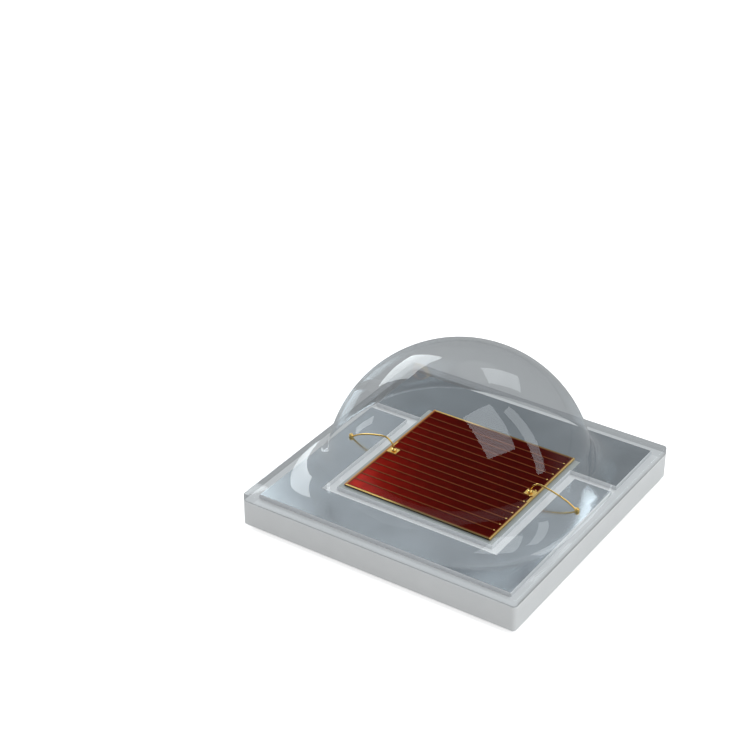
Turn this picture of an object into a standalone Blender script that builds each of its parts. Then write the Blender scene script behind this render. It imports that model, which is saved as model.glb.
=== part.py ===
"""A square surface mount grow light LED, modelled at its true size of 3.45 mm.

A white ceramic plate carries two silvered copper traces on top and three solder pads underneath,
joined by copper vias. A red chip of thin layers is soldered to one trace, and two gold wires run
from its contact grid to the other one. A clear silicone lens is moulded over the whole top.

Lengths are in metres. The origin is the centre of the underside, where the part sits on a board.
+Z is up, and the wires run along X.
"""

import math

import bpy
import numpy as np

MM = 0.001

# Pieces that touch on the real part keep this gap, because the whole part is so small
FIT_GAP = 0.002 * MM

# Ceramic plate
PACKAGE_SIDE = 3.45 * MM
CERAMIC_THICKNESS = 0.315 * MM
CERAMIC_CORNER = 0.045 * MM
CERAMIC_EDGE = 0.015 * MM

# Metal on the plate, top and bottom
TRACE_MARGIN = 0.135 * MM
TRACE_THICKNESS = 0.049 * MM
TRACE_EDGE = 0.008 * MM
TRACE_GAP = 0.113 * MM
ARM_WIDTH = 0.483 * MM
BACK_STRIP_DEPTH = 0.868 * MM
SOLDER_PAD_MARGIN = 0.1 * MM
SOLDER_PAD_THICKNESS = 0.04 * MM
SOLDER_PAD_EDGE = 0.01 * MM
SIDE_PAD_WIDTH = 0.6 * MM
THERMAL_PAD_WIDTH = 1.32 * MM
NOTCH_WIDTH = 0.48 * MM
NOTCH_DEPTH = 0.22 * MM

# Copper vias, a row from each trace down to the solder pad below it
VIA_DIAMETER = 0.15 * MM
VIA_PITCH = 1.0 * MM
VIAS_IN_ROW = 3

# Chip, from the solder under it to the gold grid on it. It fills what the arms leave free, and the
# shift is how far to the right of the plate's middle it lies, with its pad and wires
CHIP_SHIFT = 0.022 * MM
CHIP_PAD_SIDE_MARGIN = 0.059 * MM
CHIP_PAD_FRONT_MARGIN = 0.053 * MM
DIE_ATTACH_INSET = 0.01 * MM
DIE_ATTACH_THICKNESS = 0.003 * MM
CARRIER_THICKNESS = 0.004 * MM
MIRROR_INSET = 0.004 * MM
MIRROR_THICKNESS = 0.002 * MM
EMITTER_INSET = 0.01 * MM
EMITTER_THICKNESS = 0.002 * MM
GRID_THICKNESS = 0.003 * MM
GRID_FRAME_WIDTH = 0.031 * MM
FINGER_WIDTH = 0.016 * MM
FINGER_PITCH = 0.128 * MM
FINGER_FIELD_MARGIN = 0.12 * MM
BOND_PAD_LENGTH = 0.108 * MM
BOND_PAD_CLEARANCE = 0.006 * MM
STUD_DIAMETER = 0.024 * MM
STUD_HEIGHT = 0.006 * MM
STUD_INSET = 0.008 * MM
STUD_SHAPE = [(1.0, 0.0), (0.75, 0.7), (0.35, 1.0)]

# Gold wires: a ball on the chip, a loop, and a flat stitch under a second ball on the trace.
# A shape gives shares of the radius and of the height, and a pull gives shares of the curve's span
WIRE_DIAMETER = 0.02 * MM
BALL_DIAMETER = 0.06 * MM
BALL_HEIGHT = 0.03 * MM
BALL_SHAPE = [(0.7, 0.0), (1.0, 0.22), (1.0, 0.5), (0.8, 0.72), (0.52, 0.86)]
STITCH_WIDTH = 0.036 * MM
STITCH_THICKNESS = 0.006 * MM
STITCH_LENGTH = 0.045 * MM
LANDING_MARGIN = 0.155 * MM
LEFT_LOOP_HEIGHT = 0.141 * MM
LEFT_LOOP_REACH = 0.12 * MM
RIGHT_LOOP_HEIGHT = 0.139 * MM
RIGHT_LOOP_REACH = 0.113 * MM
LOOP_RISE_PULL = 0.25
LOOP_TOP_PULL = 0.57
LOOP_FALL_PULL = (0.22, 0.6)
SECURITY_BALL_DIAMETER = 0.056 * MM
SECURITY_BALL_HEIGHT = 0.046 * MM
SECURITY_BALL_SHAPE = [
    (0.72, 0.0), (0.95, 0.15), (1.0, 0.34), (0.95, 0.53), (0.76, 0.72), (0.42, 0.85), (0.3, 1.0),
]

# Silicone lens: a thin square layer, a dome, and a hollow fillet between them. The fillet's foot runs
# close to the middle of each side, and towards the corners it reaches further out
LENS_LAYER_THICKNESS = 0.084 * MM
LENS_EDGE = 0.01 * MM
DOME_FOOT_MARGIN = 0.008 * MM
DOME_FILLET = 0.225 * MM
DOME_CENTRE_DROP = 0.015 * MM
CORNER_REACH = 0.19 * MM

# Fineness of the round forms
CORNER_STEPS = 4
LENS_SIDE_STEPS = 12
DOME_RINGS = 14
FILLET_RINGS = 5
VIA_SIDES = 16
WIRE_SIDES = 8
WIRE_STEPS = 10
BALL_SIDES = 16
SMOOTH_ANGLE = math.radians(35)

# Heights at which the pieces rest, one on the other
CERAMIC_SEAT = SOLDER_PAD_THICKNESS + FIT_GAP
CERAMIC_TOP = CERAMIC_SEAT + CERAMIC_THICKNESS
TRACE_SEAT = CERAMIC_TOP + FIT_GAP
TRACE_TOP = TRACE_SEAT + TRACE_THICKNESS
DIE_ATTACH_SEAT = TRACE_TOP + FIT_GAP
CARRIER_SEAT = DIE_ATTACH_SEAT + DIE_ATTACH_THICKNESS + FIT_GAP
MIRROR_SEAT = CARRIER_SEAT + CARRIER_THICKNESS + FIT_GAP
EMITTER_SEAT = MIRROR_SEAT + MIRROR_THICKNESS + FIT_GAP
GRID_SEAT = EMITTER_SEAT + EMITTER_THICKNESS + FIT_GAP
CHIP_TOP = GRID_SEAT + GRID_THICKNESS

# Places on the plate, from its centre
HALF_SIDE = PACKAGE_SIDE / 2
TRACE_OUTER_EDGE = HALF_SIDE - TRACE_MARGIN
ARM_INNER_EDGE = TRACE_OUTER_EDGE - ARM_WIDTH
CHIP_PAD_EDGE = ARM_INNER_EDGE - TRACE_GAP
CHIP_EDGE = CHIP_PAD_EDGE - CHIP_PAD_SIDE_MARGIN
CHIP_PAD_FRONT = CHIP_EDGE + CHIP_PAD_FRONT_MARGIN
FRONT_STRIP_INNER_EDGE = CHIP_PAD_FRONT + TRACE_GAP
BACK_STRIP_INNER_EDGE = TRACE_OUTER_EDGE - BACK_STRIP_DEPTH
ARM_END = BACK_STRIP_INNER_EDGE - TRACE_GAP
PAD_OUTER_EDGE = HALF_SIDE - SOLDER_PAD_MARGIN
SIDE_PAD_CENTRE = PAD_OUTER_EDGE - SIDE_PAD_WIDTH / 2

# A bond pad fills the room between two fingers, and its wire lands midway between them
BOND_PAD_WIDTH = FINGER_PITCH - FINGER_WIDTH - 2 * BOND_PAD_CLEARANCE
WIRE_OFFSET = FINGER_PITCH / 2


def clear_scene():
    for old in list(bpy.data.objects):
        bpy.data.objects.remove(old)


def principled(name, colour, roughness, metallic=0.0, transmission=0.0):
    material = bpy.data.materials.new(name)
    material.use_nodes = True
    material.diffuse_color = (*colour, 1.0)
    shader = material.node_tree.nodes["Principled BSDF"]
    shader.inputs["Base Color"].default_value = (*colour, 1.0)
    shader.inputs["Roughness"].default_value = roughness
    shader.inputs["Metallic"].default_value = metallic
    shader.inputs["Transmission Weight"].default_value = transmission
    return material


def add_object(name, vertices, faces, material, seat=0.0, smooth=False):
    """One named piece. Its mesh stands on its own zero height, and the piece is placed at its seat."""
    mesh = bpy.data.meshes.new(name)
    mesh.from_pydata(vertices, [], faces)
    if material:
        mesh.materials.append(material)
    if smooth:
        mesh.shade_smooth()
        mesh.set_sharp_from_angle(angle=SMOOTH_ANGLE)
    piece = bpy.data.objects.new(name, mesh)
    piece.location.z = seat
    bpy.context.scene.collection.objects.link(piece)
    return piece


def loft(name, sections, material, seat=0.0, apex=None, smooth=False):
    """A closed skin through sections of as many points each, from the lowest up.

    Each section runs counter-clockwise. The first is capped flat, and the last is capped flat or
    drawn together to an apex.
    """
    rings = np.array(sections)
    count, sides = rings.shape[:2]
    index = np.arange(count * sides).reshape(count, sides)
    beside = np.roll(index, -1, axis=1)
    walls = np.stack([index[:-1], beside[:-1], beside[1:], index[1:]], axis=-1)
    vertices = rings.reshape(-1, 3).tolist()
    faces = walls.reshape(-1, 4).tolist()
    faces.append(index[0, ::-1].tolist())
    if apex is None:
        faces.append(index[-1].tolist())
    else:
        vertices.append(apex)
        tip = np.full(sides, count * sides)
        faces += np.stack([index[-1], beside[-1], tip], axis=-1).tolist()
    return add_object(name, vertices, faces, material, seat, smooth)


def section(outline, height):
    points = np.array(outline)
    return np.column_stack([points, np.full(len(points), height)])


def ring(turn, radii, heights):
    return np.column_stack([radii * np.cos(turn), radii * np.sin(turn), heights])


def offset_outline(outline, distance):
    """The outline moved outwards by a distance, with mitred corners. It runs counter-clockwise."""
    points = np.array(outline)
    ahead = np.roll(points, -1, axis=0) - points
    ahead /= np.linalg.norm(ahead, axis=1, keepdims=True)
    outward = np.column_stack([ahead[:, 1], -ahead[:, 0]])
    mitre = outward + np.roll(outward, 1, axis=0)
    return points + distance * 2 * mitre / (mitre**2).sum(axis=1, keepdims=True)


def rectangle(left, right, front, back):
    return [(left, front), (right, front), (right, back), (left, back)]


def square(half, middle=0.0):
    return rectangle(middle - half, middle + half, -half, half)


def plate(name, outline, thickness, edge, material, seat):
    """A flat plate whose upper edge is broken by a small chamfer."""
    sections = [
        section(outline, 0.0),
        section(outline, thickness - edge),
        section(offset_outline(outline, -edge), thickness),
    ]
    return loft(name, sections, material, seat)


def chip_layer(name, inset, thickness, material, seat):
    sections = [section(square(CHIP_EDGE - inset), height) for height in (0.0, thickness)]
    loft(name, sections, material, seat).location.x = CHIP_SHIFT


def turned(name, profile, sides, material, seat=0.0, place=(0.0, 0.0)):
    """A round piece on an upright axis, from radius and height pairs, lowest first."""
    turn = np.arange(sides) * math.tau / sides
    across = np.column_stack([np.cos(turn), np.sin(turn)])
    sections = [section(np.array(place) + radius * across, height) for radius, height in profile]
    return loft(name, sections, material, seat, smooth=True)


def cutter(piece):
    piece.hide_render = True
    piece.display_type = "WIRE"
    return piece


def cut(piece, tool):
    modifier = piece.modifiers.new("cut by " + tool.name, "BOOLEAN")
    modifier.operation = "DIFFERENCE"
    modifier.solver = "EXACT"
    modifier.object = tool


def via_places():
    """Front row, under the wire side trace, and back row, under the chip side trace."""
    along = (np.arange(VIAS_IN_ROW) - (VIAS_IN_ROW - 1) / 2) * VIA_PITCH
    return [(x, y) for y in (-SIDE_PAD_CENTRE, SIDE_PAD_CENTRE) for x in along]


def rounded_square(half, radius, side_steps=1):
    """A square outline with round corners, from the corner between +X and +Y round to the left."""
    near = half - radius
    turn = np.linspace(0.0, math.pi / 2, CORNER_STEPS + 1)
    arc = near + radius * np.column_stack([np.cos(turn), np.sin(turn)])
    along = np.linspace(near, -near, side_steps + 1)[1:-1]
    quarters = [np.concatenate([arc, np.column_stack([along, np.full(len(along), half)])])]
    for _ in range(3):
        x, y = quarters[-1].T
        quarters.append(np.column_stack([-y, x]))
    return np.concatenate(quarters)


def build_ceramic():
    outline = rounded_square(HALF_SIDE, CERAMIC_CORNER)
    broken = rounded_square(HALF_SIDE - CERAMIC_EDGE, CERAMIC_CORNER - CERAMIC_EDGE)
    sections = [
        section(broken, 0.0),
        section(outline, CERAMIC_EDGE),
        section(outline, CERAMIC_THICKNESS - CERAMIC_EDGE),
        section(broken, CERAMIC_THICKNESS),
    ]
    white = principled("white_ceramic", (0.82, 0.82, 0.81), 0.45)
    base = loft("ceramic_base", sections, white, CERAMIC_SEAT)
    copper = principled("copper", (0.72, 0.38, 0.25), 0.35, metallic=1.0)
    bore_radius = VIA_DIAMETER / 2 + FIT_GAP
    for number, place in enumerate(via_places(), start=1):
        post = [(VIA_DIAMETER / 2, 0.0), (VIA_DIAMETER / 2, CERAMIC_THICKNESS)]
        turned(f"copper_via_{number}", post, VIA_SIDES, copper, CERAMIC_SEAT, place)
        bore = [(bore_radius, -CERAMIC_THICKNESS), (bore_radius, 2 * CERAMIC_THICKNESS)]
        tool = turned(f"via_bore_{number}", bore, VIA_SIDES, None, CERAMIC_SEAT, place)
        cut(base, cutter(tool))


def wire_side_outline():
    """A U open to the back: a front strip with an arm on each side of the chip."""
    outer = TRACE_OUTER_EDGE
    left, right = CHIP_SHIFT - ARM_INNER_EDGE, CHIP_SHIFT + ARM_INNER_EDGE
    return [
        (-outer, -outer), (outer, -outer), (outer, ARM_END), (right, ARM_END),
        (right, -FRONT_STRIP_INNER_EDGE), (left, -FRONT_STRIP_INNER_EDGE),
        (left, ARM_END), (-outer, ARM_END),
    ]


def chip_side_outline():
    """A T: a strip along the back edge, and the pad under the chip."""
    outer = TRACE_OUTER_EDGE
    left, right = CHIP_SHIFT - CHIP_PAD_EDGE, CHIP_SHIFT + CHIP_PAD_EDGE
    return [
        (left, -CHIP_PAD_FRONT), (right, -CHIP_PAD_FRONT), (right, BACK_STRIP_INNER_EDGE),
        (outer, BACK_STRIP_INNER_EDGE), (outer, outer), (-outer, outer),
        (-outer, BACK_STRIP_INNER_EDGE), (left, BACK_STRIP_INNER_EDGE),
    ]


def build_traces():
    silver = principled("silvered_copper", (0.62, 0.65, 0.68), 0.22, metallic=1.0)
    outlines = {"wire_side_trace": wire_side_outline(), "chip_side_trace": chip_side_outline()}
    for name, outline in outlines.items():
        plate(name, outline, TRACE_THICKNESS, TRACE_EDGE, silver, TRACE_SEAT)


def build_solder_pads():
    """Three strips on the underside. Their chamfered edges face down, so the plates are turned over."""
    silver = principled("solder_pad_silver", (0.7, 0.72, 0.74), 0.15, metallic=1.0)
    outer = PAD_OUTER_EDGE
    side_pad = rectangle(-outer, outer, -SIDE_PAD_WIDTH / 2, SIDE_PAD_WIDTH / 2)
    edge = THERMAL_PAD_WIDTH / 2
    thermal_pad = [
        (-outer, -edge), (-NOTCH_WIDTH / 2, -edge), (0.0, NOTCH_DEPTH - edge),
        (NOTCH_WIDTH / 2, -edge), (outer, -edge), (outer, edge), (-outer, edge),
    ]
    pads = {
        "wire_side_solder_pad": (side_pad, -SIDE_PAD_CENTRE),
        "thermal_solder_pad": (thermal_pad, 0.0),
        "chip_side_solder_pad": (side_pad, SIDE_PAD_CENTRE),
    }
    for name, (outline, place) in pads.items():
        pad = plate(name, outline, SOLDER_PAD_THICKNESS, SOLDER_PAD_EDGE, silver, SOLDER_PAD_THICKNESS)
        pad.rotation_euler.x = math.pi
        pad.location.y = place


def finger_places():
    """Heights along Y of the contact fingers, evenly spaced out from the chip's middle."""
    steps = int((CHIP_EDGE - FINGER_FIELD_MARGIN) / FINGER_PITCH)
    return np.arange(-steps, steps + 1) * FINGER_PITCH


def grid_strips():
    """The contact grid's bars and pads as rectangles, left, right, front and back of each."""
    inner = CHIP_EDGE - GRID_FRAME_WIDTH
    frame = [
        (-CHIP_EDGE, CHIP_EDGE, -CHIP_EDGE, -inner), (-CHIP_EDGE, CHIP_EDGE, inner, CHIP_EDGE),
        (-CHIP_EDGE, -inner, -inner, inner), (inner, CHIP_EDGE, -inner, inner),
    ]
    half = FINGER_WIDTH / 2
    fingers = [(-inner, inner, y - half, y + half) for y in finger_places()]
    half = BOND_PAD_WIDTH / 2
    tip = inner - BOND_PAD_LENGTH
    pads = [
        (-inner, -tip, -WIRE_OFFSET - half, -WIRE_OFFSET + half),
        (tip, inner, WIRE_OFFSET - half, WIRE_OFFSET + half),
    ]
    return np.array(frame + fingers + pads)


def build_contact_grid(gold):
    """One gold foil: a frame, fingers across it and two bond pads, on a grid of all their edges."""
    strips = grid_strips()
    x_lines = np.unique(np.round(strips[:, :2], 9))
    y_lines = np.unique(np.round(strips[:, 2:], 9))
    x_middles = ((x_lines[1:] + x_lines[:-1]) / 2)[:, None, None]
    y_middles = ((y_lines[1:] + y_lines[:-1]) / 2)[None, :, None]
    left, right, front, back = strips.T
    covered = (x_middles > left) & (x_middles < right) & (y_middles > front) & (y_middles < back)
    filled = np.pad(covered.any(axis=2), 1)

    columns, rows = len(x_lines), len(y_lines)
    corner = np.arange(columns * rows).reshape(columns, rows)
    above = columns * rows
    faces = []
    for i, j in np.argwhere(filled[1:-1, 1:-1]):
        a, b, c, d = corner[i, j], corner[i + 1, j], corner[i + 1, j + 1], corner[i, j + 1]
        faces.append((a + above, b + above, c + above, d + above))
        faces.append((d, c, b, a))
        borders = {(0, -1): (a, b), (1, 0): (b, c), (0, 1): (c, d), (-1, 0): (d, a)}
        for (di, dj), (start, end) in borders.items():
            if not filled[i + 1 + di, j + 1 + dj]:
                faces.append((start, end, end + above, start + above))

    used = np.unique(np.concatenate([np.array(face) for face in faces]))
    renumbered = np.zeros(2 * above, int)
    renumbered[used] = np.arange(len(used))
    x, y = np.meshgrid(x_lines, y_lines, indexing="ij")
    floor = np.column_stack([x.ravel(), y.ravel(), np.zeros(above)])
    vertices = np.concatenate([floor, floor + (0.0, 0.0, GRID_THICKNESS)])[used]
    faces = [tuple(renumbered[list(face)].tolist()) for face in faces]
    grid = add_object("chip_contact_grid", vertices.tolist(), faces, gold, GRID_SEAT)
    grid.location.x = CHIP_SHIFT
    return grid


def add_studs(grid):
    """A low round stud on the right end of each finger, grown from the foil by a union."""
    place = CHIP_SHIFT + CHIP_EDGE - GRID_FRAME_WIDTH - STUD_INSET - STUD_DIAMETER / 2
    radius = STUD_DIAMETER / 2
    profile = [(radius, GRID_THICKNESS / 2)]
    profile += [(share * radius, GRID_THICKNESS + rise * STUD_HEIGHT) for share, rise in STUD_SHAPE]
    for number, y in enumerate(finger_places(), start=1):
        stud = turned(f"stud_{number}", profile, BALL_SIDES // 2, None, GRID_SEAT, (place, y))
        cutter(stud)
        modifier = grid.modifiers.new("joined with " + stud.name, "BOOLEAN")
        modifier.operation = "UNION"
        modifier.solver = "EXACT"
        modifier.object = stud


def build_chip(gold):
    solder = principled("die_attach_solder", (0.45, 0.44, 0.42), 0.4, metallic=1.0)
    carrier = principled("chip_carrier", (0.05, 0.04, 0.035), 0.3)
    mirror = principled("chip_mirror", (0.85, 0.55, 0.3), 0.15, metallic=1.0)
    red = principled("chip_red", (0.28, 0.004, 0.003), 0.2)
    chip_layer("die_attach_layer", DIE_ATTACH_INSET, DIE_ATTACH_THICKNESS, solder, DIE_ATTACH_SEAT)
    chip_layer("chip_carrier", 0.0, CARRIER_THICKNESS, carrier, CARRIER_SEAT)
    chip_layer("chip_mirror_layer", MIRROR_INSET, MIRROR_THICKNESS, mirror, MIRROR_SEAT)
    chip_layer("chip_emitting_layer", EMITTER_INSET, EMITTER_THICKNESS, red, EMITTER_SEAT)
    add_studs(build_contact_grid(gold))


def bezier(start, start_handle, end_handle, end, steps):
    """Points of a cubic curve from its start to just before its end."""
    t = (np.arange(steps) / steps)[:, None]
    return ((1 - t) ** 3 * start + 3 * (1 - t) ** 2 * t * start_handle
            + 3 * (1 - t) * t**2 * end_handle + t**3 * end)


def wire_path(side, loop_height, loop_reach):
    """Centre line of a wire, with its width and thickness at each point.

    It stands up from a ball on the chip's bond pad, turns over at the top of its loop, and comes
    down to a flat stitch on the arm of the wire side trace. side is -1 for left and 1 for right.
    """
    ball_x = CHIP_EDGE - GRID_FRAME_WIDTH - BOND_PAD_LENGTH / 2
    landing_x = TRACE_OUTER_EDGE - LANDING_MARGIN
    foot = CHIP_TOP + FIT_GAP
    neck = np.array([ball_x, foot + BALL_HEIGHT])
    crest = np.array([ball_x + loop_reach, foot + loop_height])
    heel = np.array([landing_x - STITCH_LENGTH / 2, TRACE_TOP + FIT_GAP + WIRE_DIAMETER / 2])
    toe = np.array([landing_x + STITCH_LENGTH / 2, TRACE_TOP + FIT_GAP + STITCH_THICKNESS / 2])
    lift = np.array([0.0, LOOP_RISE_PULL * (crest[1] - neck[1])])
    over = np.array([LOOP_TOP_PULL * loop_reach, 0.0])
    fall = (heel - crest) * LOOP_FALL_PULL
    up = bezier(neck, neck + lift, crest - over, crest, WIRE_STEPS)
    down = bezier(crest, crest + over, heel - fall, heel, WIRE_STEPS)

    ball_points = [(ball_x, foot + rise * BALL_HEIGHT) for _, rise in BALL_SHAPE]
    ball_widths = [share * BALL_DIAMETER for share, _ in BALL_SHAPE]
    line = np.concatenate([ball_points, up, down, [heel, toe]])
    round_part = [WIRE_DIAMETER] * (2 * WIRE_STEPS + 1)
    widths = np.array(ball_widths + round_part + [STITCH_WIDTH])
    thicknesses = np.array(ball_widths + round_part + [STITCH_THICKNESS])
    y = np.full(len(line), side * WIRE_OFFSET)
    return np.column_stack([CHIP_SHIFT + side * line[:, 0], y, line[:, 1]]), widths, thicknesses


def swept(name, path, widths, thicknesses, material, clearance=0.0):
    """An oval section carried along a path in a plane of X and Z, grown all round by a clearance."""
    ahead = np.gradient(path, axis=0)
    ahead /= np.linalg.norm(ahead, axis=1, keepdims=True)
    path = path.copy()
    path[0] -= clearance * ahead[0]
    path[-1] += clearance * ahead[-1]
    sideways = np.array([0.0, 1.0, 0.0])
    upward = np.cross(ahead, sideways)
    turn = np.arange(WIRE_SIDES) * math.tau / WIRE_SIDES + math.pi / WIRE_SIDES
    half_width = (widths / 2 + clearance)[:, None, None]
    half_thickness = (thicknesses / 2 + clearance)[:, None, None]
    rings = (path[:, None, :] + half_width * np.cos(turn)[None, :, None] * sideways
             + half_thickness * np.sin(turn)[None, :, None] * upward[:, None, :])
    return loft(name, rings, material, smooth=True)


def security_ball(name, place, material, clearance=0.0):
    """A flattened ball with a small neck where its wire was pulled off."""
    radius = SECURITY_BALL_DIAMETER / 2
    height = SECURITY_BALL_HEIGHT
    profile = [(share * radius + clearance, rise * height) for share, rise in SECURITY_BALL_SHAPE]
    profile[0] = (profile[0][0], -clearance)
    profile[-1] = (profile[-1][0], height + clearance)
    return turned(name, profile, BALL_SIDES, material, TRACE_TOP + FIT_GAP, place)


def build_wires(gold):
    """Both wires with their second balls, and the tools that leave room for them in the lens."""
    tools = []
    loops = {
        "left": (-1, LEFT_LOOP_HEIGHT, LEFT_LOOP_REACH),
        "right": (1, RIGHT_LOOP_HEIGHT, RIGHT_LOOP_REACH),
    }
    for name, (side, height, reach) in loops.items():
        path, widths, thicknesses = wire_path(side, height, reach)
        swept(f"bond_wire_{name}", path, widths, thicknesses, gold)
        wire_room = swept(f"wire_room_{name}", path, widths, thicknesses, None, FIT_GAP)
        place = (CHIP_SHIFT + side * (TRACE_OUTER_EDGE - LANDING_MARGIN), side * WIRE_OFFSET)
        ball = security_ball(f"security_ball_{name}", place, gold)
        cut(ball, cutter(wire_room))
        ball_room = security_ball(f"ball_room_{name}", place, None, FIT_GAP)
        tools += [wire_room, cutter(ball_room)]
    return tools


def room(name, outline, top):
    """A tool that leaves room for a piece on the plate: its outline and top, with the fit gap."""
    grown = offset_outline(outline, FIT_GAP)
    below = CERAMIC_TOP - LENS_LAYER_THICKNESS
    return cutter(loft(name, [section(grown, below), section(grown, top + FIT_GAP)], None))


def build_lens(tools):
    """Dome, hollow fillet and square layer in one skin, with room for all that it is moulded over."""
    floor = CERAMIC_TOP + FIT_GAP
    layer_top = CERAMIC_TOP + LENS_LAYER_THICKNESS
    outline = rounded_square(HALF_SIDE, CERAMIC_CORNER, LENS_SIDE_STEPS)
    broken_side = HALF_SIDE - LENS_EDGE
    broken = rounded_square(broken_side, CERAMIC_CORNER - LENS_EDGE, LENS_SIDE_STEPS)
    foot_radius = broken_side - DOME_FOOT_MARGIN
    centre = layer_top - DOME_CENTRE_DROP
    dome_radius = math.hypot(foot_radius, DOME_CENTRE_DROP + DOME_FILLET) - DOME_FILLET

    # The outline's middle corner points stand at 45 degrees, and so do those of the round rings
    sides = len(outline)
    turn = math.pi / 4 + (np.arange(sides) - CORNER_STEPS / 2) * math.tau / sides

    # The fillet's arc touches the layer at its foot and the same dome all round, so where the foot
    # lies further out the arc is wider: (dome + arc)^2 = foot^2 + (centre's drop + arc)^2
    foot = foot_radius + CORNER_REACH * np.sin(2 * turn) ** 2
    arc = (foot**2 / (dome_radius - DOME_CENTRE_DROP) - dome_radius - DOME_CENTRE_DROP) / 2
    meeting = np.arctan2(DOME_CENTRE_DROP + arc, foot)
    sections = [
        section(outline, floor),
        section(outline, layer_top - LENS_EDGE),
        section(broken, layer_top),
    ]
    for share in np.linspace(0.0, 1.0, FILLET_RINGS, endpoint=False):
        angle = -math.pi / 2 - share * (math.pi / 2 - meeting)
        sections.append(ring(turn, foot + arc * np.cos(angle), layer_top + arc + arc * np.sin(angle)))
    for share in np.linspace(0.0, 1.0, DOME_RINGS, endpoint=False):
        angle = meeting + share * (math.pi / 2 - meeting)
        sections.append(ring(turn, dome_radius * np.cos(angle), centre + dome_radius * np.sin(angle)))
    clear = principled("clear_silicone", (0.95, 0.96, 0.97), 0.05, transmission=1.0)
    apex = (0.0, 0.0, centre + dome_radius)
    lens = loft("silicone_lens", sections, clear, apex=apex, smooth=True)

    tools = [
        room("chip_side_trace_room", chip_side_outline(), TRACE_TOP),
        room("wire_side_trace_room", wire_side_outline(), TRACE_TOP),
        room("chip_room", square(CHIP_EDGE, CHIP_SHIFT), CHIP_TOP),
    ] + tools
    for tool in tools:
        cut(lens, tool)


def main():
    clear_scene()
    gold = principled("bond_gold", (0.95, 0.62, 0.2), 0.18, metallic=1.0)
    build_ceramic()
    build_traces()
    build_solder_pads()
    build_chip(gold)
    build_lens(build_wires(gold))


main()
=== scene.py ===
"""Looks of a surface mount grow light LED: its lens, finishes, light and camera.

The file is laid out as a Blender add-on and is run as a script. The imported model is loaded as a
fixed frame, each operator dresses one group of its pieces, and the last one makes the stage.
Lengths are in metres. The frame's origin is the centre of the underside, and +Z is up.
"""

import math

import bpy
import numpy as np
from bpy.props import FloatProperty, FloatVectorProperty, IntProperty, PointerProperty
from mathutils import Matrix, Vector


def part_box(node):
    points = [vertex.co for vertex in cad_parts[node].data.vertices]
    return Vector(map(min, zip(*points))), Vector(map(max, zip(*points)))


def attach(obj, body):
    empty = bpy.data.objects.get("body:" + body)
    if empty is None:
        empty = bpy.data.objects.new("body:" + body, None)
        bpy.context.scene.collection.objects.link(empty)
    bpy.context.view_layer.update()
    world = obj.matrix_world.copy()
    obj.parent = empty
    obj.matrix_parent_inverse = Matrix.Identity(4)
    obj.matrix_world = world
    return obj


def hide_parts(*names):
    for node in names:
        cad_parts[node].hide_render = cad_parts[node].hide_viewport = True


bl_info = {
    "name": "Grow light LED looks",
    "version": (1, 0, 0),
    "blender": (4, 5, 0),
    "location": "3D View > Sidebar > LED",
    "description": "Silicone lens, finishes, soft light and camera for a surface mount LED",
    "category": "Object",
}

MM = 0.001

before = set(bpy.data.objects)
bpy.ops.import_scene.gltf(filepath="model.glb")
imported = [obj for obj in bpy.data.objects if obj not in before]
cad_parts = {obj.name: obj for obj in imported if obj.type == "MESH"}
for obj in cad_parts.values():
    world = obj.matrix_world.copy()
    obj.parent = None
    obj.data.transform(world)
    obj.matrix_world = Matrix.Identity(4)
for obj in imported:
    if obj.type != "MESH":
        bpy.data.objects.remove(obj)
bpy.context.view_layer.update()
PLATE_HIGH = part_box("ceramic_base")[1]
LENS_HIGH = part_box("silicone_lens")[1]
TRACE_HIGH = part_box("wire_side_trace")[1]
CHIP_LOW, CHIP_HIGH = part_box("chip_emitting_layer")
GRID_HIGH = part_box("chip_contact_grid")[1]
CHIP_MIDDLE = float(CHIP_LOW[0] + CHIP_HIGH[0]) / 2

# A place this close to a piece's face counts as on it.
SKIN = 0.001 * MM
# The middle range of a noise pattern.
NOISE_SPAN = (0.3, 0.7)
# Transparent Depth counts the clear surfaces that light has gone through. These lie between two
# counts: more than one surface, and more than two.
PAST_ONE_SURFACE, PAST_TWO_SURFACES = 1.5, 2.5

# Painted light and shade on the red film: its tone falls along this line, over this span in half
# sides of the chip. The stops give a place on the span and the share of the lit red there.
RED_LINE = (1.0, 0.6, 0.0)
RED_SPAN = (-1.4, 0.8)
RED_STOPS = ((0.12, 0.5), (0.26, 0.24), (0.45, 0.1), (0.65, 0.04))
# Where painted shade turns the frame's front and back from gold to olive, in half widths of the
# grid.
OLIVE_SHADE_SPAN = (-0.5, -0.1)
# Room round a bond pad that still counts as the pad.
PAD_ROOM = 1.02
# The tone at the heart of a pore in the ceramic, and how far out a pore darkens it.
PORE_TONE, PORE_REACH = 0.93, 0.16

# Profiles of the pressed balls: their widest level and half height as shares of the ball's height,
# the angle below that level where the flat begins, and the number of points.
FIRST_BALL = {"widest": 0.36, "height": 0.5, "start": 0.79, "steps": 18}
SECOND_BALL = {"widest": 0.36, "height": 0.52, "start": 0.77, "steps": 22}
# The second ball's stub: where it leaves the ball and its own radius, as shares of the ball's
# radius, the height of its domed end as a share of the ball's, and how far round the dome goes.
STUB_MOUTH, STUB_RADIUS, STUB_CAP, STUB_TURN = 0.3, 0.29, 0.1, 0.46 * math.pi
STUB_STEPS = 8
# How strongly a wire's curve is pulled: up from the ball as a share of the rise, level at the crest
# as a share of its reach, and down to the stitch as shares of the fall's length and height.
LIFT_PULL, CREST_PULL, FALL_PULL = 0.25, 0.57, (0.22, 0.6)
LIFT_STEPS, FALL_STEPS, STITCH_STEPS = 36, 48, 10
WIRE_SIDES, BALL_SIDES = 24, 40

# Points of the lens along each corner and side of its square, rings in its fillet, and points
# round its upper edge.
CORNER_STEPS, SIDE_STEPS, FILLET_RINGS, EDGE_STEPS = 8, 56, 24, 6
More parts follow.
